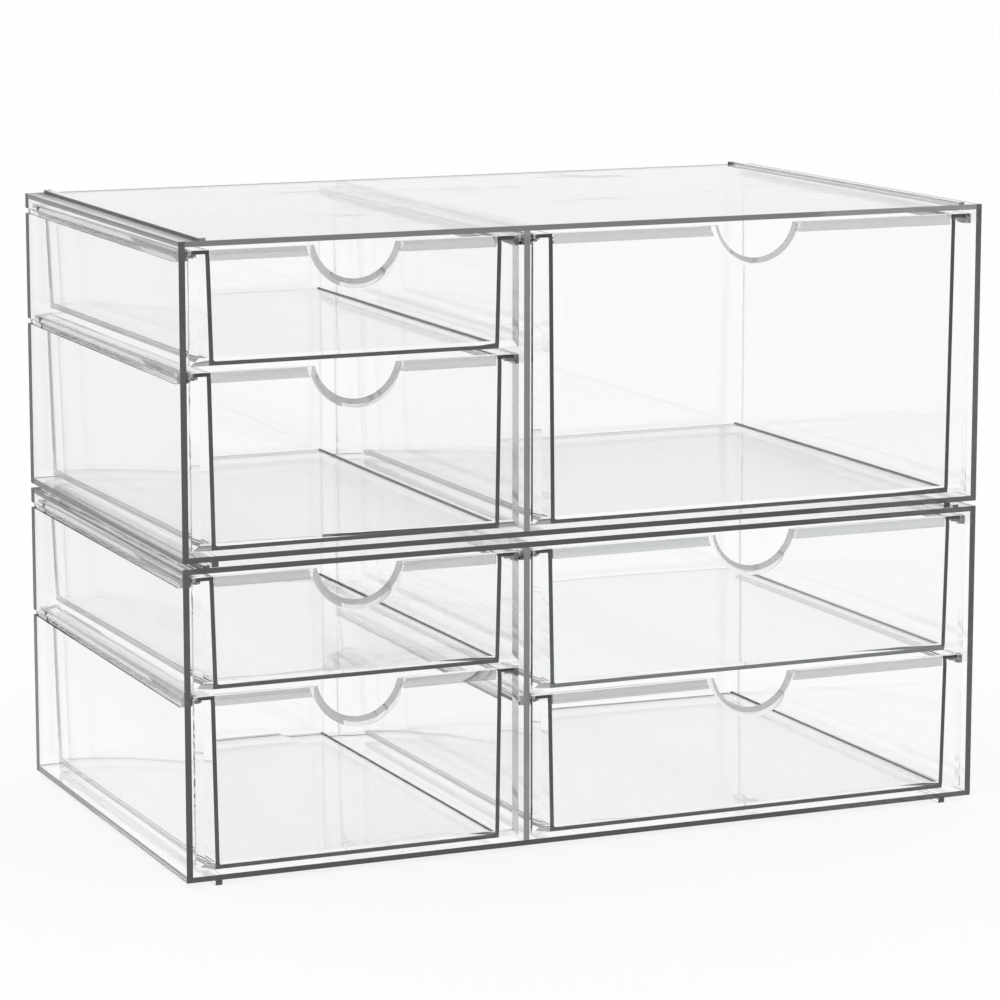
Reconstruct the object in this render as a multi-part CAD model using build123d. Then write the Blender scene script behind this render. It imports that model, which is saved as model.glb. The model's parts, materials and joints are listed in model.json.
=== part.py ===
from build123d import *
import os

# A clear drawer organizer: two equal cabinets stacked on each other, with seven drawers.
# Millimetres. X runs to the right, the drawer fronts face -Y, Z is up.
# The origin is under the middle of the object, on the surface that it stands on.

# Cabinet, outside
cabinet_width = 320.0
cabinet_depth = 185.0
cabinet_height = 113.4    # base underside to top face, without feet and ridges
back_inset = 2.8          # each side leans in by this much from front to back
side_wall = 2.4
divider_wall = 2.4
back_wall = 2.4
panel_wall = 2.0          # top panel and base panel
left_bay_width = 128.6    # clear width left of the divider, at the front

# Stacking: the feet under a base stand between the ridges of the top below
foot_height = 2.0
foot_width = 2.6
foot_setback = 0.6        # from the front edge and from the back edge
ridge_height = 1.0
ridge_width = 2.5
ridge_margin = 7.6        # from the outside of the cabinet to the ridge
stacking_play = 0.9       # sideways, between a ridge and the foot beside it

# Rails on the sides and on the divider carry the drawer flanges
rail_setback = 5.0        # the rails start this far behind the front
rail_ledge = 1.2          # thickness of the ledge under a flange
rail_root_recess = 0.3    # the root ends this far below the top of the flange
rail_root_drop = 0.9      # and reaches this far below the ledge
bearing_width = 2.4       # overlap of ledge and flange
groove_depth = 1.1        # channel outside a side wall, behind each rail
groove_height = 2.0

# Drawers
small_drawer_height = 40.5
drawer_length = 180.0     # front face to the back of the tub
top_gap = 1.5             # under the top panel
drawer_gap = 2.4          # between a drawer and the one above it
base_gap = 1.8            # above the base panel
flange_wall = 1.6
flange_play = 0.4         # between a flange and the leaning side, at the back
root_play = 0.6           # sideways, between a rail root and a flange
ride_play = 0.3           # between a ledge and the flange above it
tub_wall = 1.6
tub_floor = 1.6
tub_play = 2.4            # between a ledge and the tub beside it
tub_draft = 1.1           # the tub narrows by this much each side towards its floor
back_draft = 2.0          # and by this much at its back
tub_corner = 0.8          # radius of the two rear corners
floor_chamfer = 0.6       # inside, along the edges of the floor
front_wall = 2.6
front_play = 1.6          # from the face of the bay to the front plate
bevel_width = 3.0         # bevel round the front plate
bevel_depth = 1.0
notch_radius = 15.65      # finger notch at the top of each front, at the back of the plate
notch_rise = 3.0          # its centre lies this far above the top edge
notch_flare = 1.8         # the notch widens by this much towards the front
notch_rim = 1.5           # bevelled rim round the notch
lip_height = 3.9          # low lip behind the top edge, on both sides of the notch
lip_depth = 1.2
lip_play = 0.5            # between the lip and the tub walls

# Places that follow from the sizes above
half_width = cabinet_width / 2
front_y = -cabinet_depth / 2
back_y = cabinet_depth / 2
bay_back_y = back_y - back_wall
tub_front_y = front_y + front_wall
tub_back_y = front_y + drawer_length
lean = back_inset / cabinet_depth
left_face = -half_width + side_wall
right_face = half_width - side_wall
divider_left = left_face + left_bay_width
divider_right = divider_left + divider_wall
foot_margin = ridge_margin + ridge_width + stacking_play
flange_margin = back_inset + flange_play
root_reach = flange_margin - root_play
ledge_reach = flange_margin + bearing_width
tub_margin = ledge_reach + tub_play
base_level = {"lower": foot_height, "upper": 2 * foot_height + cabinet_height}

# Drawer heights above the underside of a base panel
drawer_top = cabinet_height - panel_wall - top_gap
drawer_bottom = panel_wall + base_gap
small_drawer_bottom = drawer_top - small_drawer_height
medium_drawer_top = small_drawer_bottom - drawer_gap
half_drawer_height = (drawer_top - drawer_bottom - drawer_gap) / 2
half_drawer_top = drawer_bottom + half_drawer_height
half_drawer_bottom = half_drawer_top + drawer_gap

# Each bay lies between two faces, each drawer has a cabinet, a bay, an underside and a top
bay = {"left": (left_face, divider_left), "right": (divider_right, right_face)}
drawers = {
    "upper_left_top_drawer": ("upper", "left", small_drawer_bottom, drawer_top),
    "upper_left_bottom_drawer": ("upper", "left", drawer_bottom, medium_drawer_top),
    "upper_right_drawer": ("upper", "right", drawer_bottom, drawer_top),
    "lower_left_top_drawer": ("lower", "left", small_drawer_bottom, drawer_top),
    "lower_left_bottom_drawer": ("lower", "left", drawer_bottom, medium_drawer_top),
    "lower_right_top_drawer": ("lower", "right", half_drawer_bottom, drawer_top),
    "lower_right_bottom_drawer": ("lower", "right", drawer_bottom, half_drawer_top),
}


def block(x0, x1, y0, y1, z0, z1):
    """A box between two corners."""
    corner = Pos(min(x0, x1), y0, z0)
    return corner * Box(abs(x1 - x0), y1 - y0, z1 - z0, align=(Align.MIN, Align.MIN, Align.MIN))


def prism(plan, z0, z1):
    """An upright solid over a plan outline."""
    return extrude(Pos(0, 0, z0) * make_face(Polyline(*plan, close=True)), z1 - z0, dir=(0, 0, 1))


def inset_at(y):
    """How far the leaning sides have come in at depth y."""
    return lean * (y - front_y)


def leaning_strip(side, margin, width, y0, y1, z0, z1):
    """A strip along a leaning side. It starts margin inside the outer face."""
    outer = half_width - margin
    inner = outer - width
    plan = [
        (side * (outer - inset_at(y0)), y0),
        (side * (outer - inset_at(y1)), y1),
        (side * (inner - inset_at(y1)), y1),
        (side * (inner - inset_at(y0)), y0),
    ]
    return prism(plan, z0, z1)


def between_sides(y0, y1, z0, z1):
    """A plate that fills the width between the two leaning sides."""
    w0 = right_face - inset_at(y0)
    w1 = right_face - inset_at(y1)
    return prism([(-w0, y0), (w0, y0), (w1, y1), (-w1, y1)], z0, z1)


def rail(face, into, wall, inset, level):
    """A rail on a bay face: a root at the wall and a ledge under the flange of a drawer."""
    ledge_top = level - flange_wall - ride_play
    ledge_bottom = ledge_top - rail_ledge
    root_bottom = ledge_bottom - rail_root_drop
    y0 = front_y + rail_setback
    buried_front = face - into * wall / 2
    buried_back = buried_front + into * inset

    def bar(reach, z0, z1):
        tip = face + into * reach
        plan = [(buried_front, y0), (buried_back, bay_back_y), (tip, bay_back_y), (tip, y0)]
        return prism(plan, z0, z1)

    return bar(root_reach, root_bottom, level - rail_root_recess) + bar(ledge_reach, ledge_bottom, ledge_top)


def groove(side, level):
    """The channel outside a leaning side, behind a rail. It is open at the back."""
    middle = level - flange_wall - ride_play - rail_ledge
    z0 = middle - groove_height / 2
    y0 = front_y + rail_setback
    y1 = back_y + groove_depth
    return leaning_strip(side, -groove_depth, 2 * groove_depth, y0, y1, z0, z0 + groove_height)


def side_panel(side, levels):
    """A leaning side wall with its rails and grooves."""
    panel = leaning_strip(side, 0, side_wall, front_y, back_y, 0, cabinet_height)
    for level in levels:
        panel += rail(side * right_face, -side, side_wall, inset_at(bay_back_y), level)
    for level in levels:
        panel -= groove(side, level)
    return panel


def divider_panel(left_levels, right_levels):
    """The upright wall between the bays, with rails on both faces."""
    panel = block(divider_left, divider_right, front_y, bay_back_y, panel_wall, cabinet_height - panel_wall)
    for level in left_levels:
        panel += rail(divider_left, -1, divider_wall, 0, level)
    for level in right_levels:
        panel += rail(divider_right, 1, divider_wall, 0, level)
    return panel


def top_panel():
    """The top with a stacking ridge along each side."""
    z0 = cabinet_height - panel_wall
    panel = between_sides(front_y, back_y, z0, cabinet_height)
    for side in (-1, 1):
        z1 = cabinet_height + ridge_height
        panel += leaning_strip(side, ridge_margin, ridge_width, front_y, back_y, z0, z1)
    return panel


def base_panel():
    """The base with a foot rib along each side."""
    panel = between_sides(front_y, back_y, 0, panel_wall)
    y0 = front_y + foot_setback
    y1 = back_y - foot_setback
    for side in (-1, 1):
        panel += leaning_strip(side, foot_margin, foot_width, y0, y1, -foot_height, panel_wall)
    return panel


def back_panel():
    """The back wall between sides, top and base."""
    return between_sides(bay_back_y, back_y, panel_wall, cabinet_height - panel_wall)


def tub_body(x0, x1, y0, y1, bottom, top, z0, z1, ease=0):
    """A solid with the tapered shape of a tub from z0 to z1. The plan belongs to the top, ease narrows z0."""

    def outline(z, inset):
        fall = (top - z) / (top - bottom)
        left = x0 + tub_draft * fall + inset
        right = x1 - tub_draft * fall - inset
        rear = y1 - back_draft * fall - inset
        face = make_face(Polyline((left, y0), (right, y0), (right, rear), (left, rear), close=True))
        return Pos(0, 0, z) * fillet(face.vertices().sort_by(Axis.Y)[-2:], tub_corner)

    return loft([outline(z0, ease), outline(z1, 0)], ruled=True)


def drawer_tub(faces, bottom, top):
    """A drawer tub that is open to the front, with a flange along each side."""
    x0 = faces[0] + tub_margin
    x1 = faces[1] - tub_margin
    tub = tub_body(x0, x1, tub_front_y, tub_back_y, bottom, top, bottom, top)
    for face, into, wall_top in ((faces[0], 1, x0), (faces[1], -1, x1)):
        tip = face + into * flange_margin
        rear = tub_back_y - tub_corner
        tub += block(tip, wall_top + into * tub_wall, tub_front_y, rear, top - flange_wall, top)
    floor = bottom + tub_floor
    eased = floor + floor_chamfer
    inside = (x0 + tub_wall, x1 - tub_wall, tub_front_y - tub_wall, tub_back_y - tub_wall, bottom, top)
    tub -= tub_body(*inside, floor, eased, floor_chamfer)
    return tub - tub_body(*inside, eased, top + tub_floor)


def drawer_front(faces, bottom, top):
    """A front plate with a finger notch, bevelled on its front and with a lip behind its top edge."""
    x0 = faces[0] + front_play
    x1 = faces[1] - front_play
    middle = (x0 + x1) / 2
    rim_radius = notch_radius + notch_flare + notch_rim

    def outline(y, inset, radius):
        plate = Pos(middle, (bottom + top) / 2) * Rectangle(x1 - x0 - 2 * inset, top - bottom - 2 * inset)
        notch = Pos(middle, top + notch_rise) * Circle(radius)
        return Plane((0, y, 0), x_dir=(1, 0, 0), z_dir=(0, -1, 0)) * (plate - notch)

    rear = outline(tub_front_y, 0, notch_radius)
    edge = outline(front_y + bevel_depth, 0, notch_radius + notch_flare)
    face = outline(front_y, bevel_width, rim_radius)
    plate = loft([rear, edge], ruled=True) + loft([edge, face], ruled=True)

    lip_margin = tub_margin + tub_wall + lip_play
    lip_back = tub_front_y + lip_depth
    lip = block(faces[0] + lip_margin, faces[1] - lip_margin, tub_front_y, lip_back, top - lip_height, top)
    across_notch = Pos(middle, tub_front_y, top + notch_rise) * Rot(90, 0, 0)
    return plate + (lip - across_notch * Cylinder(rim_radius, 4 * lip_depth))


os.makedirs("parts", exist_ok=True)
for cabinet, level in base_level.items():
    tops = {"left": [], "right": []}
    for drawer_cabinet, side, bottom, top in drawers.values():
        if drawer_cabinet == cabinet:
            tops[side].append(top)
    panels = {
        "top_panel": top_panel(),
        "base_panel": base_panel(),
        "left_side": side_panel(-1, tops["left"]),
        "right_side": side_panel(1, tops["right"]),
        "divider": divider_panel(tops["left"], tops["right"]),
        "back_panel": back_panel(),
    }
    for name, panel in panels.items():
        export_step(Pos(0, 0, level) * panel, f"parts/{cabinet}_{name}.step")
for name, (cabinet, side, bottom, top) in drawers.items():
    place = Pos(0, 0, base_level[cabinet])
    export_step(place * drawer_tub(bay[side], bottom, top), f"parts/{name}_tub.step")
    export_step(place * drawer_front(bay[side], bottom, top), f"parts/{name}_front.step")
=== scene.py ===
import json
import math
import bmesh
import bpy
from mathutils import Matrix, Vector


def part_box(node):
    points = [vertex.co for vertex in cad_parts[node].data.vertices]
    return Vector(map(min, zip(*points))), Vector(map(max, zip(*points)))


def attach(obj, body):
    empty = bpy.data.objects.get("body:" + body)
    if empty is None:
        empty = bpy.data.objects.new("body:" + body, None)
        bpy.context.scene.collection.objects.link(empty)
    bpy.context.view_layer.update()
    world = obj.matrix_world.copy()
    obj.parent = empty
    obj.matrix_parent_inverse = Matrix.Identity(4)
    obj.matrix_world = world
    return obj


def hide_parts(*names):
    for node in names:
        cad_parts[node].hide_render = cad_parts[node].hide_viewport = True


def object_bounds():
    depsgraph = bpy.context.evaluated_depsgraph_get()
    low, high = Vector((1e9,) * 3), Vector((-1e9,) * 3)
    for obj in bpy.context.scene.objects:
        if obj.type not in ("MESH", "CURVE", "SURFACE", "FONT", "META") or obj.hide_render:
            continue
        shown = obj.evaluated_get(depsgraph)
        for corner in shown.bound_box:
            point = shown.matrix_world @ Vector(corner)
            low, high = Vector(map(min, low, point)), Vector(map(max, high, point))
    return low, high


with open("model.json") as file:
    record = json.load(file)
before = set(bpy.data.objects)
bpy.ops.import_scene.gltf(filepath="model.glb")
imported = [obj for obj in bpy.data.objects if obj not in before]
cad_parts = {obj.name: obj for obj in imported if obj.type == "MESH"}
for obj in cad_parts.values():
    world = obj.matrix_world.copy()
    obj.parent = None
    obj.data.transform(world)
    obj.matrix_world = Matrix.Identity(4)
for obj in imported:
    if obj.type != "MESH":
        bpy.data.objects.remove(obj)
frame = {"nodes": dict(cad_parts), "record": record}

cad_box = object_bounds()
scene = bpy.context.scene
record = frame["record"]

# Sizes in metres
hairline = 0.00001        # between two bonded pieces
weld = 0.000001           # corners of a CAD mesh closer than this are one corner
same_place = 0.0002       # two flat faces closer than this lie in one plane
narrow = 0.0018           # rail ledges, flange tips and ridges are lower than this
wall_band = 0.0030        # the grooves of a side and the bonded ends of a plate are this near the outside
floor_band = 0.0030       # the floor of a tub and its eased edges lie within this of its underside
floor_edge = 0.0016       # the ends of the floor show this high on the front and left of a tub
bevel_band = 0.0011       # the bevelled rim of a front reaches this far back
notch_band = 0.020        # the finger notch lies within this of the top of a front
rear_band = 0.0060        # the leaning rear wall of a tub lies within this of its back
outer_corner = 0.130      # what is farther left than this lies beside the left side of the cabinet

# Neighbouring faces, by the angle between them
flat_angle = math.radians(0.5)     # less than this and they are joined to one face
smooth_angle = math.radians(28)    # less than this and they are shaded as one
area_weight = 100                  # large faces decide the shading that they share with small ones

# Shares of a face's normal along an axis
facing = 0.9              # the face looks along the axis
floor_facing = 0.95       # the face is the floor of a tub
eased = 0.3               # the face leans, as the eased edge of a tub's floor does
rounded = 0.15            # the face leans, as the rounded corners of a tub do
bevelled = 0.2            # the face leans, as the bevel of a front does
flared = 0.05             # the face leans, as the side of a finger notch does

# Optics of the plastic
plastic_ior = 1.49
bonded_ior = 1.0          # a bonded face bends no light
corner_ior = 1.06         # the rear walls of the tubs and their corners hardly show in the photograph
polished = 0.0            # roughness of the moulded faces
cut = 0.15                # roughness of the cut edges
matt = 0.3                # roughness of the rear edges
wave_scale = 25
wave_strength = 0.05
wave_height = 0.001

# Studio
floor_reach = 6.0
floor_white = 0.98
floor_glow = 0.85         # the share of plain white in the floor, and the rest takes the object's shadow
side_card = {"start": 0.20, "end": 0.30, "level": 0.7}        # by the distance to either side
ceiling = {"start": 0.45, "end": 0.80, "level": 0.2}          # by the height of the direction
mirrored_sky = {"start": 0.04, "end": 0.24, "level": 0.35}    # by the height of the direction
clear_bounces = 40
diffuse_bounces = 3

# Camera, solved from the photograph
camera_lens = 146.64
camera_sensor = 36.0
camera_place = (-0.6255, -1.4179, 0.3863)
camera_azimuth = math.radians(-23.889)
camera_elevation = math.radians(9.962)


def plastic(name, color, rough=polished, through=1.0, ior=plastic_ior):
    """A moulded plastic with a faint waviness, which lets a share of the light through."""
    material = bpy.data.materials.new(name)
    material.use_nodes = True
    nodes = material.node_tree.nodes
    links = material.node_tree.links
    shader = nodes["Principled BSDF"]
    shader.inputs["Base Color"].default_value = (*color, 1)
    shader.inputs["Roughness"].default_value = rough
    shader.inputs["Transmission Weight"].default_value = through
    shader.inputs["IOR"].default_value = ior
    place = nodes.new("ShaderNodeTexCoord")
    noise = nodes.new("ShaderNodeTexNoise")
    noise.inputs["Scale"].default_value = wave_scale
    wave = nodes.new("ShaderNodeBump")
    wave.inputs["Strength"].default_value = wave_strength
    wave.inputs["Distance"].default_value = wave_height
    links.new(place.outputs["Object"], noise.inputs["Vector"])
    links.new(noise.outputs["Fac"], wave.inputs["Height"])
    links.new(wave.outputs["Normal"], shader.inputs["Normal"])
    return material


def grey(level):
    return (level, level, level)


def drawer_finishes_and_painted_shade(name, clear, edge, sill_painted_shade, crease_painted_shade, lip, floor):
    """The finishes of a drawer, by the places that carry them; its dark and grey ones are painted shade."""
    return {
        "clear": plastic(name + "_polished", clear),
        "corner": plastic(name + "_rear", clear, ior=corner_ior),
        # painted shade: dark front ends and floor edges, and grey flange tips
        "edge": plastic(name + "_edge", edge, rough=cut, through=0.1, ior=bonded_ior),
        "sill_painted_shade": plastic(name + "_sill", sill_painted_shade, rough=cut, through=0.1, ior=bonded_ior),
        "line": plastic(name + "_flange_tip_painted_shade", grey(0.2), through=0.7),
        "crease_painted_shade": plastic(name + "_floor_edge_painted_shade", crease_painted_shade, through=0.4, ior=bonded_ior),
        # painted shade: the lip, the flared side of the finger notch and the bevel beside the divider are
        # grey
        "lip": plastic(name + "_lip_painted_shade", lip),
        "notch": plastic(name + "_notch_painted_shade", grey(0.5), through=0.6),
        # painted shade: the floor is grey, standing in for the grey that reflections give it
        "floor": plastic(name + "_floor", floor),
    }


cabinet = {
    "clear": plastic("cabinet_polished", grey(0.975)),
    # painted sheen: the upper face of the uppermost top is slightly grey, standing in for the grey that it
    # reflects
    "top": plastic("cabinet_top_painted_sheen", grey(0.95)),
    # painted shade: the cut edges and rear edges are dark, and the ledges and ridges grey, standing in for
    # the shade that the clear plastic shows along them
    "edge": plastic("cabinet_painted_shade_edge", grey(0.25), rough=cut, through=0.25),
    "dark": plastic("cabinet_painted_shade_dark_edge", grey(0.09), rough=cut, through=0.2),
    "rear": plastic("cabinet_painted_shade_rear_edge", grey(0.03), rough=matt, through=0.0, ior=bonded_ior),
    "line": plastic("cabinet_painted_shade_ledge", grey(0.2), through=0.7),
    "ridge": plastic("cabinet_painted_shade_ridge", grey(0.5), through=0.85),
    "joint": plastic("cabinet_joint", grey(1.0), ior=bonded_ior),
}
neutral = drawer_finishes_and_painted_shade(
    "clear",
    clear=grey(0.995),
    edge=grey(0.04),
    sill_painted_shade=grey(0.04),
    crease_painted_shade=grey(0.09),
    lip=grey(0.36),
    floor=grey(0.83),
)
tinted = drawer_finishes_and_painted_shade(
    "tinted",
    clear=(0.991, 0.994, 0.996),
    edge=(0.050, 0.062, 0.070),
    sill_painted_shade=(0.20, 0.225, 0.24),
    crease_painted_shade=(0.34, 0.36, 0.37),
    lip=(0.41, 0.425, 0.435),
    floor=(0.86, 0.875, 0.882),
)


def in_plane(value, plane):
    return abs(value - plane) < same_place


def height_of(face):
    levels = [v.co.z for v in face.verts]
    return max(levels) - min(levels)


def looks_sideways(normal):
    return abs(normal.x) > facing


def side_finish_and_painted_shade(low, high):
    """Painted shade: dark cut edges in front and at the left rear, grey lines along the rails and grooves."""
    outside = max(-low.x, high.x)

    def finish(face, center, normal):
        if normal.y < -facing:
            return "dark" if in_plane(center.y, low.y) else "line"
        if normal.y > facing and in_plane(center.y, high.y):
            return "rear" if center.x < 0 else "ridge"
        if normal.y > facing:
            return "joint"
        between = low.z + same_place < center.z < high.z - same_place
        if abs(normal.z) > facing and between and abs(center.x) > outside - wall_band:
            return "line"
        if looks_sideways(normal) and height_of(face) < narrow:
            return "line"
        return "clear"
    return finish


def divider_finish_and_painted_shade(low, high):
    """A cut edge in front and grey lines behind and along the rails, painted as shade, and bonded to top and
    base.
    """
    def finish(face, center, normal):
        if normal.y < -facing:
            return "edge" if in_plane(center.y, low.y) else "line"
        if normal.y > facing:
            return "line"
        if abs(normal.z) > facing and (in_plane(center.z, low.z) or in_plane(center.z, high.z)):
            return "joint"
        if looks_sideways(normal) and height_of(face) < narrow:
            return "line"
        return "clear"
    return finish


def plate_finish_and_painted_shade(low, high):
    """Tops and bases have cut edges in front and behind, painted dark as shade, and are bonded to the sides.

    The uppermost top has a lighter painted shade on its front edge, and a painted sheen makes its upper face
    slightly greyer.
    """
    uppermost = in_plane(high.z, cad_box[1][2])

    def finish(face, center, normal):
        if normal.y < -facing:
            return "edge" if uppermost else "dark"
        if normal.y > facing:
            return "rear"
        if looks_sideways(normal) and abs(center.x) > high.x - wall_band:
            return "joint"
        if looks_sideways(normal) and height_of(face) < narrow:
            return "ridge"
        # the upper face of the uppermost top takes the painted sheen
        return "top" if uppermost and normal.z > facing else "clear"
    return finish


def back_finish_and_painted_shade(low, high):
    """Painted dark, as shade, where it meets the left side, the top and the base."""
    def finish(face, center, normal):
        if abs(normal.y) > facing:
            return "clear"
        return "joint" if normal.x > facing else "rear"
    return finish


def tub_finish_and_painted_shade(low, high):
    """Painted shade: dark front ends, a grey floor with darker long edges, and grey flange tips.

    The rear wall is faint in the right bay, and so are the rounded corners, except at the cabinet's left,
    where they are painted dark as shade.
    """
    in_right_bay = low.x > -outer_corner

    def finish(face, center, normal):
        # painted shade: the front ends of the tub are dark
        if normal.y < -facing and in_plane(center.y, low.y):
            return "edge" if center.z > low.z + floor_edge else "sill_painted_shade"
        if center.z < low.z + floor_band:
            # the floor takes the painted grey that stands in for reflected shade
            if normal.z > floor_facing:
                return "floor"
            # painted shade: dark eased floor edges, and grey at the floor's left end and on the flange tips
            if normal.z > eased and abs(normal.x) > eased:
                return "crease_painted_shade"
            if normal.x < -facing and center.z < low.z + floor_edge:
                return "line"
        if looks_sideways(normal) and (in_plane(center.x, low.x) or in_plane(center.x, high.x)):
            return "line"
        # painted shade: the rounded corners at the cabinet's left are dark
        if abs(normal.x) > rounded and abs(normal.y) > rounded:
            return "crease_painted_shade" if center.x < -outer_corner else "corner"
        if in_right_bay and abs(normal.y) > facing and center.y > high.y - rear_band:
            return "corner"
        return "clear"
    return finish


def front_finish_and_painted_shade(low, high):
    """The lip, the flared side of the finger notch and the bevel on the divider's left are painted grey, as
    shade.
    """
    in_left_bay = high.x < 0

    def finish(face, center, normal):
        # painted shade on the bevel beside the divider, on the lip and on the notch side
        if in_left_bay and normal.x > bevelled and normal.y < -bevelled:
            return "lip"
        if normal.y > facing and in_plane(center.y, high.y):
            return "lip"
        leaning = normal.z > flared and normal.y < -flared
        if leaning and center.y > low.y + bevel_band and center.z > high.z - notch_band:
            return "notch"
        return "clear"
    return finish


def clear_copy(node, finish, materials):
    """A copy of a CAD node, drawn in by a hairline, with a finish on each face, many of them painted shade.
    """
    mesh = frame["nodes"][node].data.copy()
    names = list(materials)
    mesh.materials.clear()
    for name in names:
        mesh.materials.append(materials[name])
    work = bmesh.new()
    work.from_mesh(mesh)
    bmesh.ops.remove_doubles(work, verts=work.verts, dist=weld)
    bmesh.ops.dissolve_limit(work, angle_limit=flat_angle, verts=work.verts, edges=work.edges)
    if node.endswith("_tub"):
        level = Vector((0, 0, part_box(node)[0][2] + floor_edge))
        parts = work.verts[:] + work.edges[:] + work.faces[:]
        bmesh.ops.bisect_plane(work, geom=parts, plane_co=level, plane_no=(0, 0, 1))
    work.normal_update()
    moves = [v.normal * hairline * v.calc_shell_factor() for v in work.verts]
    for v, move in zip(work.verts, moves):
        v.co -= move
    for face in work.faces:
        face.smooth = True
        face.material_index = names.index(finish(face, face.calc_center_median(), face.normal))
    work.to_mesh(mesh)
    work.free()
    mesh.set_sharp_from_angle(angle=smooth_angle)
    piece = bpy.data.objects.new("clear_" + node, mesh)
    scene.collection.objects.link(piece)
    weighted = piece.modifiers.new("flat faces stay flat", "WEIGHTED_NORMAL")
    weighted.keep_sharp = True
    weighted.weight = area_weight
    shown = piece.evaluated_get(bpy.context.evaluated_depsgraph_get())
    piece.data = bpy.data.meshes.new_from_object(shown)
    piece.modifiers.clear()
    return piece


kinds = {
    "_side": side_finish_and_painted_shade,
    "_divider": divider_finish_and_painted_shade,
    "_top_panel": plate_finish_and_painted_shade,
    "_base_panel": plate_finish_and_painted_shade,
    "_back_panel": back_finish_and_painted_shade,
    "_tub": tub_finish_and_painted_shade,
    "_front": front_finish_and_painted_shade,
}
plastics = {"clear_cabinet": cabinet, "clear_drawer": neutral, "tinted_drawer": tinted}
slots = {row["node"]: row["material_slot"] for row in record["subparts"]}
for body, body_nodes in record["behaviour"]["bodies"].items():
    for node in body_nodes:
        low, high = (Vector(corner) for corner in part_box(node))
        kind = next(kinds[ending] for ending in kinds if node.endswith(ending))
        piece = clear_copy(node, kind(low, high), plastics[slots[node]])
        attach(piece, body)
        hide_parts(node)


def math_node(tree, operation, first, second=None, clamp=False):
    """The result of an operation on sockets or numbers."""
    node = tree.nodes.new("ShaderNodeMath")
    node.operation = operation
    node.use_clamp = clamp
    for socket, value in zip(node.inputs, (first, second)):
        if isinstance(value, bpy.types.NodeSocket):
            tree.links.new(value, socket)
        elif value is not None:
            socket.default_value = value
    return node.outputs[0]


def fade(tree, value, start, end, level, curve="LINEAR"):
    """1 up to the start, and from there down to the level at the end."""
    node = tree.nodes.new("ShaderNodeMapRange")
    node.interpolation_type = curve
    node.inputs["From Min"].default_value = start
    node.inputs["From Max"].default_value = end
    node.inputs["To Min"].default_value = 1.0
    node.inputs["To Max"].default_value = level
    tree.links.new(value, node.inputs["Value"])
    return node.outputs["Result"]


def reflected_only(tree, path):
    """1 for a reflected ray and 0 for one that came through, because that one counts as glossy too."""
    glossy = path.outputs["Is Glossy Ray"]
    return math_node(tree, "SUBTRACT", glossy, path.outputs["Is Transmission Ray"], clamp=True)


def floor_material():
    """White with the shadow of the object. Reflections also show a grey card at each side."""
    material = bpy.data.materials.new("white floor")
    material.use_nodes = True
    tree = material.node_tree
    nodes = tree.nodes
    nodes.remove(nodes["Principled BSDF"])
    path = nodes.new("ShaderNodeLightPath")
    place = nodes.new("ShaderNodeNewGeometry")
    split = nodes.new("ShaderNodeSeparateXYZ")
    tree.links.new(place.outputs["Position"], split.inputs[0])
    card = fade(tree, math_node(tree, "ABSOLUTE", split.outputs["X"]), **side_card)
    direct = math_node(tree, "SUBTRACT", 1.0, reflected_only(tree, path))
    glow = nodes.new("ShaderNodeEmission")
    tree.links.new(math_node(tree, "MAXIMUM", card, direct), glow.inputs["Strength"])
    shade = nodes.new("ShaderNodeBsdfDiffuse")
    shade.inputs["Color"].default_value = (*grey(floor_white), 1)
    seen = math_node(tree, "MULTIPLY", path.outputs["Is Camera Ray"], floor_glow)
    bent = math_node(tree, "MAXIMUM", path.outputs["Is Glossy Ray"], path.outputs["Is Transmission Ray"])
    mix = nodes.new("ShaderNodeMixShader")
    tree.links.new(math_node(tree, "MAXIMUM", seen, bent), mix.inputs["Fac"])
    tree.links.new(shade.outputs[0], mix.inputs[1])
    tree.links.new(glow.outputs[0], mix.inputs[2])
    tree.links.new(mix.outputs[0], nodes["Material Output"].inputs["Surface"])
    return material


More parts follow.
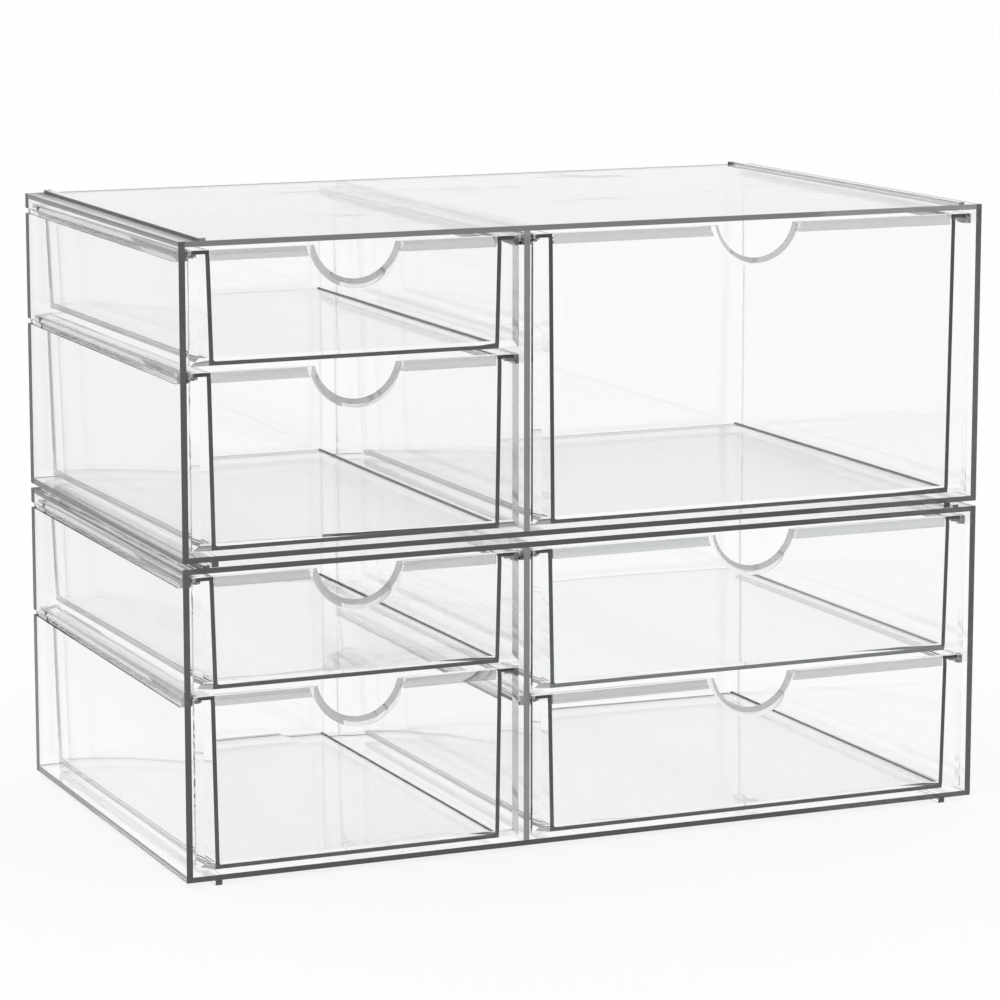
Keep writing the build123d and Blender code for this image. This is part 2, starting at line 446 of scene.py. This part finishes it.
def studio_floor():
    """A plain floor under the object."""
    mesh = bpy.data.meshes.new("floor")
    corners = [(-1, -1), (1, -1), (1, 1), (-1, 1)]
    mesh.from_pydata([(x * floor_reach, y * floor_reach, 0) for x, y in corners], [], [(0, 1, 2, 3)])
    mesh.materials.append(floor_material())
    floor = bpy.data.objects.new("floor", mesh)
    scene.collection.objects.link(floor)


def studio_light():
    """White light from all sides. Through the plastic the ceiling is grey, and in reflections the sky is."""
    world = bpy.data.worlds.new("studio")
    scene.world = world
    world.use_nodes = True
    tree = world.node_tree
    nodes = tree.nodes
    path = nodes.new("ShaderNodeLightPath")
    place = nodes.new("ShaderNodeTexCoord")
    split = nodes.new("ShaderNodeSeparateXYZ")
    tree.links.new(place.outputs["Generated"], split.inputs[0])
    height = split.outputs["Z"]
    sky = nodes.new("ShaderNodeMix")
    tree.links.new(reflected_only(tree, path), sky.inputs["Factor"])
    tree.links.new(fade(tree, height, **ceiling, curve="SMOOTHSTEP"), sky.inputs["A"])
    tree.links.new(fade(tree, height, **mirrored_sky, curve="SMOOTHSTEP"), sky.inputs["B"])
    plain = math_node(tree, "ADD", path.outputs["Is Camera Ray"], path.outputs["Diffuse Depth"], clamp=True)
    level = math_node(tree, "MAXIMUM", plain, sky.outputs["Result"])
    background = nodes["Background"]
    background.inputs["Color"].default_value = (1, 1, 1, 1)
    tree.links.new(level, background.inputs["Strength"])


def studio_camera():
    """The view of the photograph."""
    lens = bpy.data.cameras.new("camera")
    lens.lens = camera_lens
    lens.sensor_width = camera_sensor
    camera = bpy.data.objects.new("camera", lens)
    scene.collection.objects.link(camera)
    level = math.cos(camera_elevation)
    back = Vector((
        math.sin(camera_azimuth) * level,
        -math.cos(camera_azimuth) * level,
        math.sin(camera_elevation),
    ))
    camera.location = camera_place
    camera.rotation_euler = (-back).to_track_quat("-Z", "Y").to_euler()
    scene.camera = camera


studio_floor()
studio_light()
studio_camera()
scene.view_settings.view_transform = "Standard"
scene.cycles.max_bounces = clear_bounces
scene.cycles.transmission_bounces = clear_bounces
scene.cycles.glossy_bounces = clear_bounces
scene.cycles.diffuse_bounces = diffuse_bounces
